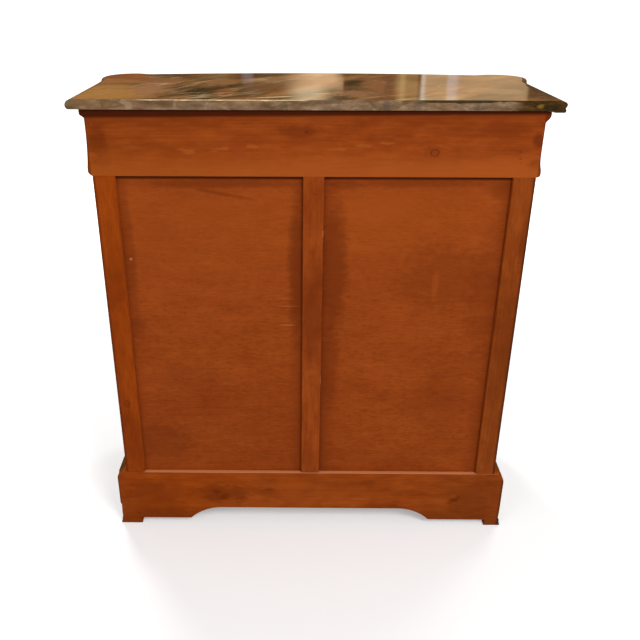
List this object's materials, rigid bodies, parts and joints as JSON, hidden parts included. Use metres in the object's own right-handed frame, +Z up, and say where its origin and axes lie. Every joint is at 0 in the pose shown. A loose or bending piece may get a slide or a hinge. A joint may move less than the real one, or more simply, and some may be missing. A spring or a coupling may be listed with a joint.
{
  "type": "bedside pot cupboard",
  "caption": "Marble-topped bedside cupboard with a bowed front, frieze drawer, panelled doors, moulded plinth and framed pine back.",
  "frame": {"origin": "on the floor, under the middle of the overall box", "axes": "+Z up, the doors and drawer face -Y, the framed back faces +Y, +X to the right of a person facing the doors"},
  "size_m": [0.85, 0.368, 0.874],
  "materials": {
    "marble": "polished, brown and olive with cream veins; sawn at the back",
    "stained_pine": "orange-brown stain, satin",
    "walnut": "dark french polish",
    "inner_pine": "bare, aged",
    "brass": "dull, handled",
    "iron": "dark, slightly rusted"
  },
  "bodies": {
    "carcass": {"marble_top": "marble", "cornice_front": "walnut", "cornice_left": "walnut", "cornice_right": "walnut", "frieze_back_board": "stained_pine", "frieze_side_left": "walnut", "frieze_side_right": "walnut", "drawer_rail": "walnut", "drawer_runner_left": "inner_pine", "drawer_runner_right": "inner_pine", "drawer_kickers": "inner_pine", "corner_post_left": "walnut", "corner_post_right": "walnut", "side_panel_left": "walnut", "side_panel_right": "walnut", "back_stile_left": "stained_pine", "back_stile_right": "stained_pine", "back_muntin": "stained_pine", "back_panel_left": "stained_pine", "back_panel_right": "stained_pine", "plinth_back_board": "stained_pine", "plinth_front": "walnut", "plinth_side_left": "walnut", "plinth_side_right": "walnut", "ogee_front": "walnut", "ogee_left": "walnut", "ogee_right": "walnut", "feet": "stained_pine", "bottom_board": "inner_pine", "shelf": "inner_pine", "shelf_cleats": "inner_pine", "door_stops": "inner_pine", "carcass_hinge_leaves": "brass", "back_nails": "iron", "carcass_hinge_screws": "brass"},
    "drawer": {"drawer_front": "walnut", "drawer_side_left": "inner_pine", "drawer_side_right": "inner_pine", "drawer_back": "inner_pine", "drawer_bottom": "inner_pine", "drawer_knobs": "brass"},
    "left_door": {"left_door_hinge_stile": "walnut", "left_door_meeting_stile": "walnut", "left_door_top_rail": "walnut", "left_door_bottom_rail": "walnut", "left_door_panel": "walnut", "left_door_hinge_leaves": "brass", "left_door_screws": "brass", "door_bolt_plate": "iron"},
    "right_door": {"right_door_hinge_stile": "walnut", "right_door_meeting_stile": "walnut", "right_door_top_rail": "walnut", "right_door_bottom_rail": "walnut", "right_door_panel": "walnut", "right_door_hinge_leaves": "brass", "right_door_screws": "brass", "lock_case": "iron"},
    "lock_bolt": {"lock_bolt": "iron"},
    "key": {"key": "iron"},
    "door_bolt": {"door_bolt": "iron"}
  },
  "joints": [
    {"name": "drawer_slide", "type": "slide", "parent": "carcass", "child": "drawer", "axis": [0, -1, 0], "range_m": [0, 0.2]},
    {"name": "left_door_hinge", "type": "hinge", "parent": "carcass", "child": "left_door", "pos_m": [-0.33975, -0.13001, 0.4505], "axis": [0, 0, -1], "range_deg": [0, 110]},
    {"name": "right_door_hinge", "type": "hinge", "parent": "carcass", "child": "right_door", "pos_m": [0.33975, -0.13001, 0.4505], "axis": [0, 0, 1], "range_deg": [0, 110]},
    {"name": "key_turn", "type": "hinge", "parent": "right_door", "child": "key", "pos_m": [0.025, -0.15, 0.454], "axis": [0, -1, 0], "range_deg": [0, 180]},
    {"name": "lock_bolt_slide", "type": "slide", "parent": "right_door", "child": "lock_bolt", "axis": [-1, 0, 0], "range_m": [0, 0.007]},
    {"name": "door_bolt_slide", "type": "slide", "parent": "left_door", "child": "door_bolt", "axis": [0, 0, 1], "range_m": [0, 0.012]}
  ],
  "couplings": [
    {"joint": "lock_bolt_slide", "follows": "key_turn", "m_per_rad": 0.0022282}
  ]
}
